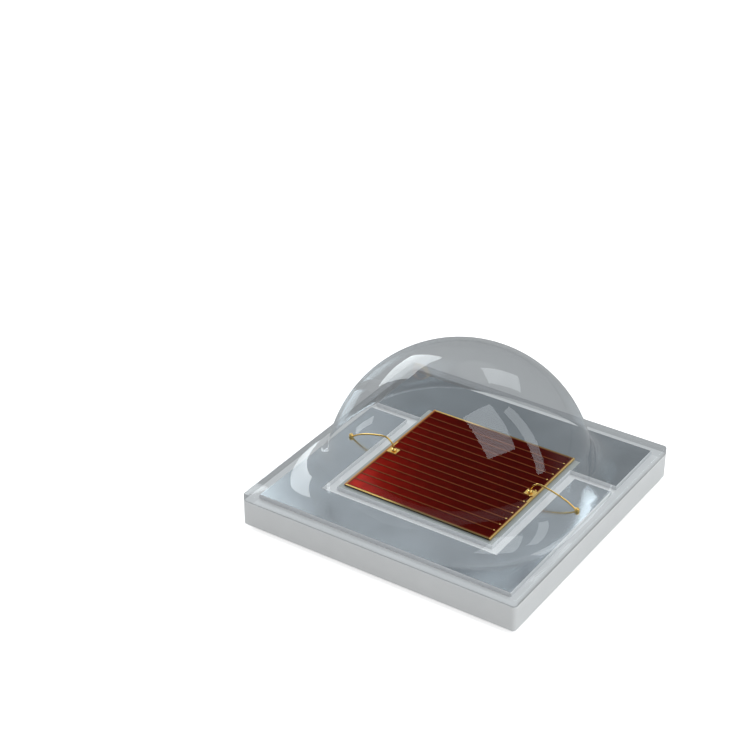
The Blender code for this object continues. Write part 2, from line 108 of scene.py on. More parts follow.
# The lens's outer rings, in roundings of its edge: how far in the flat's last ring and the hidden
# bottom are, and how far above and below the ceramic's face the side and the bottom end.
FLAT_INSET, BOTTOM_INSET, SIDE_ABOVE, BOTTOM_BELOW = 1.6, 3.0, 0.2, 0.6

# Softboxes: where their corners are seen from the dome, as azimuth and elevation in degrees, and
# their brightness.
SOFTBOXES = {
    "rear_left_softbox": ([(-109.4, 18.8), (-132.9, 10.8), (-135.9, 36.7), (-106.4, 37.7)], 4.9),
    "rear_right_softbox": ([(160.5, 40.8), (177.7, 31.0), (194.1, 48.5), (173.2, 60.1)], 3.0),
    "key_softbox": ([(59.0, 38.6), (96.3, 37.6), (127.0, 70.0), (44.8, 79.6)], 2.5),
    "strip_softbox": ([(104.5, 10.0), (115.5, 8.0), (125.5, 57.0), (116.0, 61.0)], 2.4),
    "left_strip_softbox": ([(-84.0, 7.0), (-80.0, 6.0), (-76.0, 22.0), (-82.0, 24.0)], 3.4),
}
# Glows in the backdrop: azimuth, elevation, outer and inner reach in degrees, and strength.
GLOWS = ((-125.0, 28.0, 30.0, 12.0, 0.15), (-165.0, 50.0, 16.0, 10.0, 0.6))
# The dark side of the studio: the azimuth and elevation of its middle in degrees, and the cosines
# between which the backdrop fades into it.
CAMERA_SIDE, CAMERA_SIDE_SPAN = (34.0, 31.0), (-0.2, 0.4)


def length(name, description, default):
    """A length property in metres."""
    return FloatProperty(
        name=name, description=description, default=default, min=0.0, precision=6, unit="LENGTH"
    )


def colour(name, description, default):
    """A colour property, in linear red, green and blue."""
    return FloatVectorProperty(
        name=name, description=description, default=default, min=0.0, max=1.0, subtype="COLOR"
    )


def amount(name, description, default, high=1.0):
    """A plain number from nought up to a limit."""
    return FloatProperty(name=name, description=description, default=default, min=0.0, max=high)


class LensSettings(bpy.types.PropertyGroup):
    """The moulded silicone lens."""

    layer_thickness: length("Layer", "Thickness of the square silicone layer", 0.084 * MM)
    layer_edge: length("Layer edge", "Rounding along the layer's upper edge", 0.01 * MM)
    corner_radius: length("Corner", "Radius of the layer's upright corners", 0.045 * MM)
    foot_radius: length("Fillet foot", "Where the fillet meets the layer, at mid-side", 1.707 * MM)
    fillet_radius: length("Fillet", "Radius of the hollow fillet, at mid-side", 0.225 * MM)
    centre_drop: length("Centre drop", "Depth of the dome's centre below the layer", 0.015 * MM)
    corner_reach: length("Corner reach", "How much further out the foot is at corners", 0.19 * MM)
    dome_rings: IntProperty(name="Dome rings", description="Rings in the dome", default=72, min=8)
    head_on_shine: amount("Shine head on", "Share of light mirrored head on", 0.04)
    skin_roughness: amount("Skin roughness", "Roughness of the silicone's skin", 0.02)
    tint: colour("Tint", "What clear silicone lets through at each surface", (0.95, 0.96, 0.97))
    far_side: amount("Far side", "Share let through into the layer beyond the dome", 0.8)


class MetalSettings(bpy.types.PropertyGroup):
    """Silver, copper and solder."""

    wire_side: colour("Wire side", "Silver plate on the wire side trace", (0.61, 0.665, 0.70))
    # Painted shade: the chip side trace has the same silver plate as the wire side trace, painted
    # darker.
    chip_side: colour("Chip side", "Silver plate on the chip side trace", (0.41, 0.45, 0.475))
    trace_roughness: amount("Trace roughness", "Roughness of the traces", 0.16)
    trace_patch: length("Trace patch", "Size of the faint clouds on the traces", 0.5 * MM)
    pad_silver: colour("Pad silver", "Silver plate on the solder pads", (0.78, 0.79, 0.8))
    pad_roughness: amount("Pad roughness", "Roughness of the solder pads", 0.16)
    pad_patch: length("Pad patch", "Size of the faint clouds on the pads", 0.8 * MM)
    copper: colour("Copper", "Plated copper in the vias", (0.72, 0.36, 0.22))
    solder: colour("Solder", "Solder film under the chip", (0.45, 0.44, 0.42))
    matt_solder: colour("Matt solder", "Solder that ran out round the chip", (0.42, 0.44, 0.42))
    wetted_width: length("Wetted width", "How far that solder reaches", 0.08 * MM)
    # Painted highlight: the traces' sides are a pale matt grey that stands in for bright lines
    # along their edges.
    side_highlight: colour("Etched side", "The sides of the traces", (0.8, 0.81, 0.82))
    matt_roughness: amount("Matt roughness", "Roughness of that solder and those sides", 0.6)
    matt_metal: amount("Matt metal", "How metallic that solder and those sides look", 0.2)


class ChipSettings(bpy.types.PropertyGroup):
    """The chip's layers."""

    # Painted light and shade on the red film: it runs from the lit red to the shaded red.
    lit_red: colour("Bright red", "Film where it is lit best", (0.47, 0.016, 0.008))
    shaded_red: colour("Dark red", "Film towards its far corner", (0.06, 0.0018, 0.0006))
    carrier: colour("Carrier", "Dark carrier under the film", (0.045, 0.034, 0.02))
    # Painted light: the carrier's right face is given a lit gold tone.
    carrier_lit_side: colour("Carrier right", "Its right side, with gold on it", (0.5, 0.36, 0.13))
    mirror: colour("Mirror", "Metal mirror under the film", (0.8, 0.52, 0.26))


class GoldSettings(bpy.types.PropertyGroup):
    """The contact grid, the bond wires and their balls."""

    gold: colour("Gold", "Wires, balls, bond pads, studs and frame", (1.0, 0.66, 0.2))
    # Painted shade on the one gold: the fingers' dull gold, the olive and the two side tones.
    shaded_gold: colour("Dull gold", "Thin contact fingers", (0.21, 0.046, 0.006))
    olive: colour("Olive", "The frame's front and back, right of the middle", (0.24, 0.16, 0.055))
    left_gold_shade: colour("Left gold", "The frame's left side", (0.62, 0.26, 0.06))
    right_gold_shade: colour("Right gold", "The frame's right side", (0.75, 0.5, 0.17))
    finger_roughness: amount("Finger roughness", "Roughness of the fingers", 0.45)
    frame_roughness: amount("Frame roughness", "Roughness of the frame and bond pads", 0.35)
    # Painted highlight: the frame's bright outer part.
    highlight_line: length("Bright line", "Width of the frame's bright outer part", 0.019 * MM)
    frame_width: length("Frame width", "Width of the grid's frame", 0.031 * MM)
    finger_pitch: length("Finger pitch", "From one finger to the next", 0.128 * MM)
    pad_length: length("Pad length", "Length of a bond pad along the wire", 0.108 * MM)
    pad_width: length("Pad width", "Width of a bond pad", 0.1 * MM)
    stud_height: length("Stud height", "How far the studs stand above the foil", 0.006 * MM)
    fit_gap: length("Gap", "Room that the solids keep between touching pieces", 0.002 * MM)
    wire_diameter: length("Wire", "Diameter of the bond wire", 0.02 * MM)
    ball_diameter: length("Ball", "Diameter of the ball on the chip", 0.06 * MM)
    ball_height: length("Ball height", "Height of the ball on the chip", 0.03 * MM)
    stitch_width: length("Stitch width", "Width of the flat stitch", 0.036 * MM)
    stitch_thickness: length("Stitch thickness", "Thickness of the flat stitch", 0.006 * MM)
    stitch_length: length("Stitch length", "Length of the flat stitch", 0.045 * MM)
    landing_margin: length("Landing", "From the trace's outer edge to the stitch", 0.155 * MM)
    left_loop_height: length("Left loop", "Height of the left loop over the chip", 0.141 * MM)
    left_loop_reach: length("Left reach", "From the left ball to its loop's crest", 0.12 * MM)
    right_loop_height: length("Right loop", "Height of the right loop over the chip", 0.139 * MM)
    right_loop_reach: length("Right reach", "From the right ball to its loop's crest", 0.113 * MM)
    second_ball_diameter: length("Second ball", "Diameter of the ball over a stitch", 0.056 * MM)
    second_ball_height: length("Second height", "Height of the ball over a stitch", 0.046 * MM)


class CeramicSettings(bpy.types.PropertyGroup):
    """The white ceramic plate."""

    white: colour("White", "Fired alumina", (0.82, 0.82, 0.815))
    grain: length("Grain", "Size of the fired grain", 0.02 * MM)
    roughness: amount("Roughness", "Roughness of the fired face", 0.5)
    # Painted shade on the plate's top rim outside the traces: one tone in front and on the right,
    # and a deeper one at the back and on the left.
    rim: amount("Rim", "Tone of the rim outside the traces, in front and on the right", 0.89)
    rim_shade_behind: amount("Rim behind", "Tone of that rim at the back and on the left", 0.77)
    # Painted shade: these two cut the plate's tone where it is seen through the whole dome and
    # where it is seen in the metal and the lens.
    far_side: amount("Far side", "Share of its brightness seen through the whole dome", 0.32)
    mirrored: amount("Mirrored", "Share of its brightness seen in the metal and the lens", 0.55)


class StageSettings(bpy.types.PropertyGroup):
    """Floor, lights and camera."""

    camera_azimuth: FloatProperty(
        name="Azimuth", description="Camera's turn from -Y to +X", default=0.5893, subtype="ANGLE"
    )
    camera_elevation: FloatProperty(
        name="Elevation", description="Camera's height as an angle", default=0.5370, subtype="ANGLE"
    )
    camera_lens: FloatProperty(
        name="Focal length", description="On a sensor 36 mm wide", default=89.108, unit="CAMERA"
    )
    camera_place: FloatVectorProperty(
        name="Place", description="Where the camera stands", precision=6, unit="LENGTH",
        default=(8.8033 * MM, -14.8566 * MM, 11.936 * MM),
    )
    ambient: amount("Ambient", "Even light from all sides", 0.5, 4.0)
    backdrop_tint: colour("Backdrop tint", "Colour of the backdrop's light", (0.97, 0.985, 1.0))
    backdrop_grey: amount("Backdrop", "Grey of the backdrop in metal and through the lens", 0.4)
    camera_side_grey: amount("Camera side", "Grey behind the camera, in the lens", 0.055)
    camera_side_in_metal: amount("In metal", "Grey behind the camera, in metal under it", 0.28)
    lamp_distance: length("Lamp distance", "From the object to each lamp", 40.0 * MM)
    lamp_colour: colour("Lamp colour", "Colour of the lamps", (0.92, 0.98, 1.0))
    aim_height: length("Aim height", "Height of the dome's centre, which lamps face", 0.426 * MM)
    floor_side: length("Floor", "Side of the floor", 2000.0 * MM)
    floor_drop: length("Floor drop", "How far the floor is below the solder pads", 0.001 * MM)
    floor_tone: amount("Floor tone", "How pale the floor is", 0.8)
    floor_lift: amount("Floor lift", "Light added to the floor where it is seen direct", 0.68)
    floor_grey: amount("Floor grey", "How pale it is in metal and through the lens", 0.43)


def node_adder(tree):
    """A function that adds nodes to a tree, and one that links or sets a socket."""

    def join(socket, value):
        if isinstance(value, bpy.types.NodeSocket):
            tree.links.new(value, socket)
        else:
            socket.default_value = value

    def add(kind, inputs=(), **settings):
        """Adds a node. inputs pairs a socket's name or number with a value or an output socket."""
        node = tree.nodes.new("ShaderNode" + kind)
        for key, value in settings.items():
            setattr(node, key, value)
        for key, value in dict(inputs).items():
            join(node.inputs[key], value)
        return node

    return add, join


def new_material(name):
    """A material with its Principled shader and the two functions for its nodes."""
    material = bpy.data.materials.new(name)
    material.use_nodes = True
    return material, material.node_tree.nodes["Principled BSDF"], *node_adder(material.node_tree)


def dress(material, *names):
    """Gives a finish to CAD nodes, in place of the plain one they came with."""
    for name in names:
        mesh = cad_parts[name].data
        mesh.materials.clear()
        mesh.materials.append(material)


def rgba(value):
    return (*value, 1.0)


def calc(add, operation, *values, **settings):
    """The result of one operation on one or two numbers."""
    node = add("Math", dict(enumerate(values)), operation=operation, **settings)
    return node.outputs["Value"]


def ranged(add, value, low, high, start=0.0, end=1.0, **settings):
    """Takes a number from one span to another, and keeps it within the new one."""
    node = add("MapRange", {"Value": value, "From Min": start, "From Max": end,
                            "To Min": low, "To Max": high}, **settings)
    return node.outputs["Result"]


def spread(add, factor, low, high):
    """Spreads a pattern's middle range over two values."""
    return ranged(add, factor, low, high, *NOISE_SPAN)


def between(add, factor, first, second):
    """A number between two others."""
    return add("Mix", {"Factor": factor, "A": first, "B": second}).outputs["Result"]


def picked(add, factor, first, second, **settings):
    """A colour between two others."""
    node = add("Mix", {0: factor, 6: first, 7: second}, data_type="RGBA", **settings)
    return node.outputs[2]


def shaded(add, tone, share):
    """A colour times a number."""
    return picked(add, 1.0, tone, share, blend_type="MULTIPLY")


def own_axes(add):
    """The three parts of a place in the piece's own coordinates."""
    return add("SeparateXYZ", {"Vector": add("TexCoord").outputs["Object"]}).outputs


def pattern_place(add, size):
    """The piece's own coordinates, scaled so that a pattern of unit size comes out at a size."""
    place = add("TexCoord").outputs["Object"]
    return add("Mapping", {"Vector": place, "Scale": (1.0 / size,) * 3}).outputs["Vector"]


def mottled(add, place, tone, darkest, lightest, scale=1.0):
    """A colour that drifts between two shares of itself over a noise pattern, and that pattern."""
    noise = add("TexNoise", {"Vector": place, "Scale": scale, "Detail": 4.0}).outputs["Fac"]
    ramp = add("ValToRGB", {"Fac": noise})
    for stop, share in enumerate((darkest, lightest)):
        ramp.color_ramp.elements[stop].position = NOISE_SPAN[stop]
        ramp.color_ramp.elements[stop].color = rgba(np.minimum(np.array(tone) * share, 1.0))
    return ramp.outputs["Color"], noise


def raised(add, height, strength, distance):
    node = add("Bump", {"Height": height, "Strength": strength, "Distance": distance})
    return node.outputs["Normal"]


def painted_rim_shade(add, settings):
    """Painted shade on the rim outside the traces on the plate's top face, as a share of its tone.
    It is 1 elsewhere.

    A place is on the rim where the larger of its distances from the two middle lines is beyond
    the traces. It is at the back or on the left where the larger of y and -x is beyond them.
    """
    axes = own_axes(add)
    inner = float(TRACE_HIGH[0])
    away = calc(add, "MAXIMUM", calc(add, "ABSOLUTE", axes["X"]), calc(add, "ABSOLUTE", axes["Y"]))
    outside = calc(add, "GREATER_THAN", away, inner)
    on_top = calc(add, "GREATER_THAN", axes["Z"], float(PLATE_HIGH[2]) - SKIN)
    leftward = calc(add, "MULTIPLY", axes["X"], -1.0)
    behind = calc(add, "GREATER_THAN", calc(add, "MAXIMUM", leftward, axes["Y"]), inner)
    # Painted shade: deeper at the back and on the left than in front and on the right.
    tone = ranged(add, behind, settings.rim, settings.rim_shade_behind)
    return between(add, calc(add, "MULTIPLY", outside, on_top), 1.0, tone)


def ceramic_finish(settings):
    """Fired alumina: a fine grain with dark pores, faint clouds in its white and a satin surface.

    The rim round the traces is darkened by painted shade, most at the back and on the left. The
    whole plate is painted darker where it is seen in the metal and the lens than where it is seen
    direct, and darkest through both sides of the dome: that is painted shade too.
    """
    material, shader, add, join = new_material("fired_alumina")
    place = pattern_place(add, settings.grain)
    clouds, _ = mottled(add, place, settings.white, 0.975, 1.015, scale=0.06)
    grain = add("TexNoise", {"Vector": place, "Scale": 1.0, "Detail": 5.0}).outputs["Fac"]
    pores = add("TexVoronoi", {"Vector": place, "Scale": 0.5}).outputs["Distance"]
    tone = shaded(add, clouds, ranged(add, pores, PORE_TONE, 1.0, end=PORE_REACH))
    tone = shaded(add, tone, painted_rim_shade(add, settings))
    # Painted shade: the plate is darker where it is seen in the metal and the lens, and darker
    # still through both sides of the dome.
    path = add("LightPath").outputs
    beyond = calc(add, "GREATER_THAN", path["Transparent Depth"], PAST_TWO_SURFACES)
    near = ranged(add, path["Is Glossy Ray"], 1.0, settings.mirrored)
    tone = shaded(add, tone, ranged(add, beyond, near, settings.far_side))
    join(shader.inputs["Base Color"], tone)
    rough = settings.roughness
    join(shader.inputs["Roughness"], spread(add, grain, rough - 0.07, rough + 0.07))
    join(shader.inputs["Normal"], raised(add, grain, 0.12, 0.002 * MM))
    shader.inputs["Specular IOR Level"].default_value = 0.4
    return material


def silver_finish(name, silver, roughness, patch):
    """Plated silver: a smooth face with faint clouds, an uneven polish and a slight orange peel."""
    material, shader, add, join = new_material(name)
    place = pattern_place(add, patch)
    tone, cloud = mottled(add, place, silver, 0.95, 1.03)
    join(shader.inputs["Base Color"], tone)
    join(shader.inputs["Roughness"], spread(add, cloud, roughness - 0.03, roughness + 0.04))
    peel = add("TexNoise", {"Vector": place, "Scale": 9.0, "Detail": 2.0}).outputs["Fac"]
    join(shader.inputs["Normal"], raised(add, peel, 0.05, 0.001 * MM))
    shader.inputs["Metallic"].default_value = 1.0
    return material, shader, add, join


def add_matt_parts(shader, add, join, settings, margin):
    """Matt parts of a trace: its sides, pale as a painted highlight along its edges, and solder
    that ran out round the chip.

    The sides are all that lies below the top face. The solder lies where the larger of the
    distance from the chip's middle line and the distance in front of its centre is within the
    chip's half side plus the margin, and not behind the chip. A margin of nought leaves it out.
    """
    axes = own_axes(add)
    side = matt = calc(add, "LESS_THAN", axes["Z"], float(TRACE_HIGH[2]) - SKIN)
    if margin > 0.0:
        half = float(CHIP_HIGH[1])
        offset = calc(add, "SUBTRACT", axes["X"], CHIP_MIDDLE)
        ahead = calc(add, "MULTIPLY", axes["Y"], -1.0)
        away = calc(add, "MAXIMUM", calc(add, "ABSOLUTE", offset), ahead)
        near = calc(add, "LESS_THAN", away, half + margin)
        in_front = calc(add, "LESS_THAN", axes["Y"], half)
        matt = calc(add, "MAXIMUM", matt, calc(add, "MULTIPLY", near, in_front))
    silver = shader.inputs["Base Color"].links[0].from_socket
    polish = shader.inputs["Roughness"].links[0].from_socket
    tone = picked(add, matt, silver, rgba(settings.matt_solder))
    # Painted highlight: the sides take the pale grey.
    tone = picked(add, side, tone, rgba(settings.side_highlight))
    join(shader.inputs["Base Color"], tone)
    join(shader.inputs["Roughness"], between(add, matt, polish, settings.matt_roughness))
    join(shader.inputs["Metallic"], ranged(add, matt, 1.0, settings.matt_metal))


def metal_finish(name, tone, roughness, patch):
    """Plain metal with a mottled tone and a fine uneven surface."""
    material, shader, add, join = new_material(name)
    base, cloud = mottled(add, pattern_place(add, patch), tone, 0.86, 1.08)
    join(shader.inputs["Base Color"], base)
    join(shader.inputs["Roughness"], spread(add, cloud, roughness * 0.8, roughness * 1.25))
    join(shader.inputs["Normal"], raised(add, cloud, 0.08, 0.002 * MM))
    shader.inputs["Metallic"].default_value = 1.0
    return material


class LED_OT_ceramic(bpy.types.Operator):
    """Finishes the white ceramic plate"""

    bl_idname = "led.ceramic"
    bl_label = "Ceramic plate"

    def execute(self, context):
        dress(ceramic_finish(context.scene.led_ceramic), "ceramic_base")
        return {"FINISHED"}


class LED_OT_metal(bpy.types.Operator):
    """Finishes the traces, the solder pads, the vias and the solder under the chip"""

    bl_idname = "led.metal"
    bl_label = "Traces and pads"

    def execute(self, context):
        metal = context.scene.led_metal
        # The chip side trace's darker silver is painted shade on the same plate.
        for side, margin in (("wire_side", 0.0), ("chip_side", metal.wetted_width)):
            finish, *nodes = silver_finish(
                f"{side}_silver", getattr(metal, side), metal.trace_roughness, metal.trace_patch
            )
            add_matt_parts(*nodes, metal, margin)
            dress(finish, f"{side}_trace")
        finish = silver_finish(
            "silver_plated_pad", metal.pad_silver, metal.pad_roughness, metal.pad_patch
        )[0]
        dress(finish, "wire_side_solder_pad", "thermal_solder_pad", "chip_side_solder_pad")
        vias = [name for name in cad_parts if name.startswith("copper_via")]
        dress(metal_finish("plated_copper", metal.copper, 0.3, 0.03 * MM), *vias)
        dress(metal_finish("chip_solder", metal.solder, 0.4, 0.05 * MM), "die_attach_layer")
        return {"FINISHED"}


def red_film_finish(settings):
    """The light source: a deep red film, with painted light and shade on it. It is painted
    brightest at its front left corner, and painted shade darkens it fast at first and then slowly
    along a line towards the back right.
    """
    material, shader, add, join = new_material("red_light_film")
    place = add("TexCoord").outputs["Object"]
    along = add("VectorMath", {0: place, 1: RED_LINE}, operation="DOT_PRODUCT").outputs["Value"]
    start, end = np.array(RED_SPAN) * float(CHIP_HIGH[1])
    ramp = add("ValToRGB", {"Fac": ranged(add, along, 0.0, 1.0, start, end)})
    bright, dark = np.array(settings.lit_red), np.array(settings.shaded_red)
    stops = ramp.color_ramp.elements
    for position, share in RED_STOPS:
        stops.new(position).color = rgba(dark + share * (bright - dark))
    stops[0].color, stops[-1].color = rgba(bright), rgba(dark)
    fine = pattern_place(add, 0.09 * MM)
    weave = add("TexNoise", {"Vector": fine, "Scale": 1.0, "Detail": 2.0}).outputs["Fac"]
    tone = shaded(add, ramp.outputs["Color"], spread(add, weave, 0.85, 1.12))
    join(shader.inputs["Base Color"], tone)
    join(shader.inputs["Roughness"], spread(add, weave, 0.3, 0.36))
    shader.inputs["Specular IOR Level"].default_value = 0.0
    return material


def carrier_finish(settings):
    """Dark satin carrier with a mottled tone, and painted light in a gold tone on its right side.
    """
    material, shader, add, join = new_material("dark_carrier")
    tone, cloud = mottled(add, pattern_place(add, 0.02 * MM), settings.carrier, 0.7, 1.5)
    # Painted light: the right face takes the lit gold tone.
    right = calc(add, "GREATER_THAN", own_axes(add)["X"], float(CHIP_HIGH[0]) - SKIN)
    plated = picked(add, right, tone, rgba(settings.carrier_lit_side))
    join(shader.inputs["Base Color"], plated)
    join(shader.inputs["Roughness"], spread(add, cloud, 0.35, 0.5))
    return material


class LED_OT_chip(bpy.types.Operator):
    """Finishes the chip's layers"""

    bl_idname = "led.chip"
    bl_label = "Chip layers"

    def execute(self, context):
        chip = context.scene.led_chip
        dress(carrier_finish(chip), "chip_carrier")
        dress(metal_finish("mirror_film", chip.mirror, 0.15, 0.1 * MM), "chip_mirror_layer")
        dress(red_film_finish(chip), "chip_emitting_layer")
        return {"FINISHED"}


def grid_finish(settings):
    """Gold foil: full gold on the frame's outer line, which is a painted highlight, on the bond
    pads and on the studs, and elsewhere a dull gold that is painted shade.

    From the chip's middle, the line is where the further of the two distances passes its inner
    edge. Its left and right sides are painted shades of the gold, deeper on the left, and painted
    shade fades its front and back to olive towards the right. A pad is within its length of the
    frame and half a finger pitch from the middle line, give or take half its width. A stud stands
    above the foil.
    """
    material, shader, add, join = new_material("grid_gold")
    place = add("TexCoord").outputs["Object"]
    shifted = add("Mapping", {"Vector": place, "Location": (-CHIP_MIDDLE, 0.0, 0.0)})
    centred = shifted.outputs["Vector"]
    across = add("SeparateXYZ", {"Vector": centred}).outputs["X"]
    sizes = add("VectorMath", {0: centred}, operation="ABSOLUTE").outputs["Vector"]
    away = add("SeparateXYZ", {"Vector": sizes}).outputs

    half = float(GRID_HIGH[0]) - CHIP_MIDDLE
    inner, line = half - settings.frame_width, half - settings.highlight_line
    on_sides = calc(add, "GREATER_THAN", away["X"], line)
    on_ends = calc(add, "GREATER_THAN", away["Y"], line)
    off_line = calc(add, "SUBTRACT", away["Y"], settings.finger_pitch / 2)
    aside = calc(add, "ABSOLUTE", off_line)
    near_line = calc(add, "LESS_THAN", aside, settings.pad_width * PAD_ROOM / 2)
    near_edge = calc(add, "GREATER_THAN", away["X"], inner - settings.pad_length * PAD_ROOM)
    on_pad = calc(add, "MULTIPLY", near_line, near_edge)
    stud_level = float(GRID_HIGH[2]) - settings.stud_height / 2
    bright = calc(add, "GREATER_THAN", away["Z"], stud_level)
    for part in (on_sides, on_ends, on_pad):
        bright = calc(add, "MAXIMUM", bright, part)

    tone, cloud = mottled(add, pattern_place(add, 0.03 * MM), settings.gold, 0.88, 1.06)
    start, end = np.array(OLIVE_SHADE_SPAN) * inner
    fade = ranged(add, across, 0.0, 1.0, start, end, interpolation_type="SMOOTHSTEP")
    # Painted shade: the frame's front and back fade to olive towards the right, and its sides take
    # darker golds.
    tone = picked(add, calc(add, "MULTIPLY", on_ends, fade), tone, rgba(settings.olive))
    left = calc(add, "LESS_THAN", across, -line)
    tone = picked(add, left, tone, rgba(settings.left_gold_shade))
    right = calc(add, "GREATER_THAN", across, line)
    tone = picked(add, right, tone, rgba(settings.right_gold_shade))
    # Painted shade: the fingers and the frame's inner part get the dull gold, and the bright parts
    # keep the full gold.
    join(shader.inputs["Base Color"], picked(add, bright, rgba(settings.shaded_gold), tone))
    polish = ranged(add, bright, settings.finger_roughness, settings.frame_roughness)
    join(shader.inputs["Roughness"], polish)
    join(shader.inputs["Normal"], raised(add, cloud, 0.06, 0.001 * MM))
    shader.inputs["Metallic"].default_value = 1.0
    return material


def smooth_gold_finish(settings):
    """Drawn gold: bright and smooth, with a faint drawing texture round the wire."""
    material, shader, add, join = new_material("bond_gold")
    tone, cloud = mottled(add, pattern_place(add, 0.01 * MM), settings.gold, 0.93, 1.05)
    join(shader.inputs["Base Color"], tone)
    join(shader.inputs["Roughness"], spread(add, cloud, 0.09, 0.14))
    join(shader.inputs["Normal"], raised(add, cloud, 0.05, 0.0006 * MM))
    shader.inputs["Metallic"].default_value = 1.0
    return material


def oval_arc(widest, height, mouth, start, steps):
    """Profile of a pressed ball, as shares of its greatest radius and its height.

    Points on an ellipse round the widest level, from a start angle below it up to where the
    radius has shrunk to the mouth. The radius is the cosine of the angle, and the height is the
    widest level plus the ellipse's half height times the sine.
    """
    angle = np.linspace(-start, math.acos(mouth), steps)
    return np.cos(angle), widest + height * np.sin(angle)


def bezier(points, steps):
    """Points on a cubic curve: the four points weighed by (1-t)^3, 3(1-t)^2 t, 3(1-t) t^2, t^3."""
    t = np.linspace(0.0, 1.0, steps, endpoint=False)[:, None]
    a, b, c, d = points
    return (1 - t) ** 3 * a + 3 * (1 - t) ** 2 * t * b + 3 * (1 - t) * t**2 * c + t**3 * d


def wire_surface(settings, side, loop_height, loop_reach):
    """Rings along a bond wire, from the flat of its ball to the toe of its stitch.

    An oval is carried along a path in an upright plane. Its half width and half thickness are the
    ball's profile at first, then the wire's radius, and over the stitch they ease to a flat oval.
    The path rises from the ball, turns over at the crest of the loop and comes down to the trace.
    """
    foot = float(GRID_HIGH[2]) - settings.stud_height + settings.fit_gap
    frame_edge = float(GRID_HIGH[0]) - CHIP_MIDDLE - settings.frame_width
    ball_x = frame_edge - settings.pad_length / 2
    landing_x = float(TRACE_HIGH[0]) - settings.landing_margin
    floor = float(TRACE_HIGH[2]) + settings.fit_gap
    radius, ball = settings.wire_diameter / 2, settings.ball_diameter / 2
    half_length, half_flat = settings.stitch_length / 2, settings.stitch_thickness / 2

    neck = np.array([ball_x, foot + settings.ball_height])
    crest = np.array([ball_x + loop_reach, foot + loop_height])
    heel = np.array([landing_x - half_length, floor + radius])
    toe = np.array([landing_x + half_length, floor + half_flat])
    lift = np.array([0.0, LIFT_PULL * (crest[1] - neck[1])])
    over = np.array([CREST_PULL * loop_reach, 0.0])
    fall = (heel - crest) * FALL_PULL

    shares, levels = oval_arc(mouth=radius / ball, **FIRST_BALL)
    ball_line = np.column_stack([
        np.full(levels.size, ball_x),
        foot + levels * settings.ball_height,
    ])
    along = np.linspace(0.0, 1.0, STITCH_STEPS)
    eased = along**2 * (3 - 2 * along)
    stitch = heel + np.column_stack([along, eased]) * (toe - heel)
    line = np.concatenate([
        ball_line,
        bezier((neck, neck + lift, crest - over, crest), LIFT_STEPS),
        bezier((crest, crest + over, heel - fall, heel), FALL_STEPS),
        stitch,
    ])
    ends = [shares * ball, np.full(LIFT_STEPS + FALL_STEPS, radius)]
    wide = np.concatenate([*ends, radius + eased * (settings.stitch_width / 2 - radius)])
    thick = np.concatenate([*ends, radius + eased * (half_flat - radius)])

    ahead = np.gradient(line, axis=0)
    ahead /= np.linalg.norm(ahead, axis=1, keepdims=True)
    ahead[:levels.size] = (0.0, 1.0)
    turn = np.arange(WIRE_SIDES) * math.tau / WIRE_SIDES
    sideways = wide[:, None] * np.cos(turn)
    upward = thick[:, None] * np.sin(turn)
    x = CHIP_MIDDLE + side * (line[:, :1] - upward * ahead[:, 1:])
    y = side * (settings.finger_pitch / 2 + sideways)
    z = line[:, 1:] + upward * ahead[:, :1]
    return np.stack([x, y, z], axis=-1)


def ball_surface(settings, side):
    """Rings of the second ball over a stitch: a pressed ball, turned, with the stub of its wire.

    The stub is a short neck that ends in a small dome where the wire was pulled off. The dome's
    points are at the stub's radius times the cosine of an angle, and at its foot plus its height
    times the sine.
    """
    shares, levels = oval_arc(mouth=STUB_MOUTH, **SECOND_BALL)
    cap = np.linspace(0.0, STUB_TURN, STUB_STEPS)
    radii = np.concatenate([shares, STUB_RADIUS * np.cos(cap)])
    heights = np.concatenate([levels, 1.0 - STUB_CAP + STUB_CAP * np.sin(cap)])
    radii *= settings.second_ball_diameter / 2
    heights *= settings.second_ball_height
    turn = np.arange(BALL_SIDES) * math.tau / BALL_SIDES
    place = CHIP_MIDDLE + side * (float(TRACE_HIGH[0]) - settings.landing_margin)
    x = place + radii[:, None] * np.cos(turn)
    y = side * settings.finger_pitch / 2 + radii[:, None] * np.sin(turn)
    z = float(TRACE_HIGH[2]) + settings.fit_gap + heights[:, None] + np.zeros(turn.size)
    return np.stack([x, y, z], axis=-1)


class LED_OT_gold(bpy.types.Operator):
    """Finishes the contact grid, and makes the wires and their balls as fine round surfaces"""

    bl_idname = "led.gold"
    bl_label = "Gold grid and wires"

    def execute(self, context):
        gold = context.scene.led_gold
        dress(grid_finish(gold), "chip_contact_grid")
        finish = smooth_gold_finish(gold)
        loops = {
            "left": (-1, gold.left_loop_height, gold.left_loop_reach),
            "right": (1, gold.right_loop_height, gold.right_loop_reach),
        }
        for name, (side, height, reach) in loops.items():
            wire = wire_surface(gold, side, height, reach)
            add_gold_piece(f"gold_wire_{name}", wire, finish, f"bond_wire_{name}")
            ball = ball_surface(gold, side)
            add_gold_piece(f"gold_ball_{name}", ball, finish, f"security_ball_{name}")
        return {"FINISHED"}


def add_gold_piece(name, rings, finish, node):
    """A closed surface over rings of points, in place of a CAD node."""
    piece = closed_surface(name, rings, rings[0].mean(axis=0), rings[-1].mean(axis=0))
    piece.data.materials.append(finish)
    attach(piece, "root")
    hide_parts(node)


def rounded_square(half, radius, corner_steps, side_steps):
    """Points of a square outline with round corners, from the corner between +X and +Y leftwards.

    A quarter is an arc of a right angle round the corner's centre, then a straight side. The
    other three are the first one turned by a right angle each time.
    """
    near = half - radius
    turn = np.linspace(0.0, math.pi / 2, corner_steps + 1)
    arc = near + radius * np.column_stack([np.cos(turn), np.sin(turn)])
    along = np.linspace(near, -near, side_steps + 1)[1:-1]
    quarter = np.concatenate([arc, np.column_stack([along, np.full(along.size, half)])])
    turned = [quarter]
    for _ in range(3):
        turned.append(np.column_stack([-turned[-1][:, 1], turned[-1][:, 0]]))
    return np.concatenate(turned)


